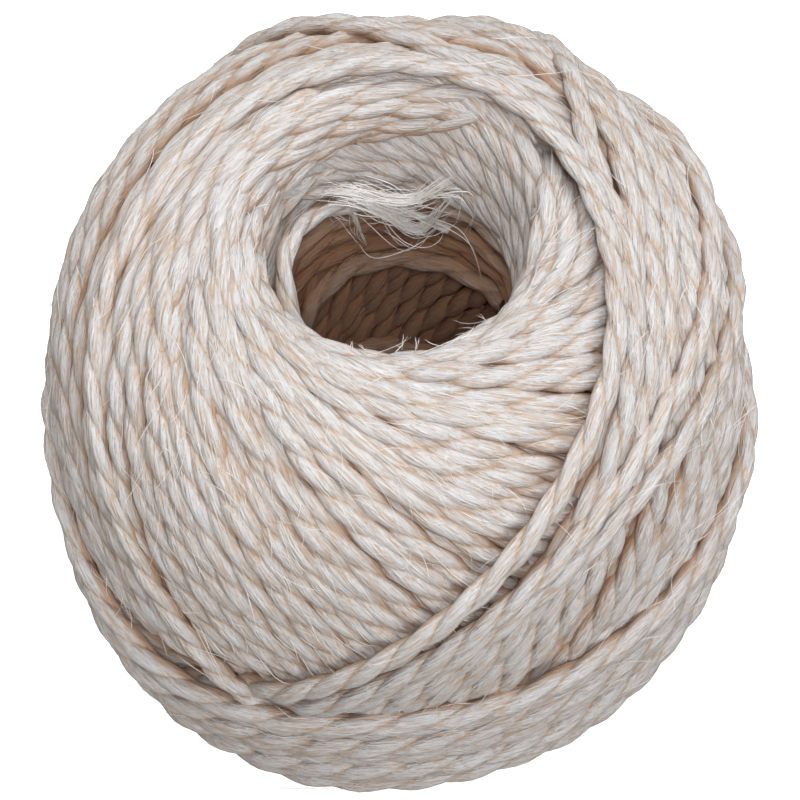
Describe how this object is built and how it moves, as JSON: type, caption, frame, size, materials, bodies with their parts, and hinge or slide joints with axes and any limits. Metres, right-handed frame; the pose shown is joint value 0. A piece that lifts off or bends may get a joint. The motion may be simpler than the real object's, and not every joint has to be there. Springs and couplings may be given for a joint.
{
  "type": "ball of sisal twine",
  "caption": "Small coreless ball of two-ply sisal twine, wound crosswise with an open bore through it, a band of turns round the waist and a short frayed end in the bore.",
  "frame": {"origin": "middle of the ball's box, on the surface that it stands on", "axes": "+Z along the bore, up out of the mouth that has the loose end"},
  "size_m": [0.0798, 0.0798, 0.0802],
  "materials": {
    "wound_twine": "matt",
    "loose_twine": "matt"
  },
  "bodies": {
    "root": {"ball": "wound_twine", "loose_end": "loose_twine"}
  },
  "joints": []
}
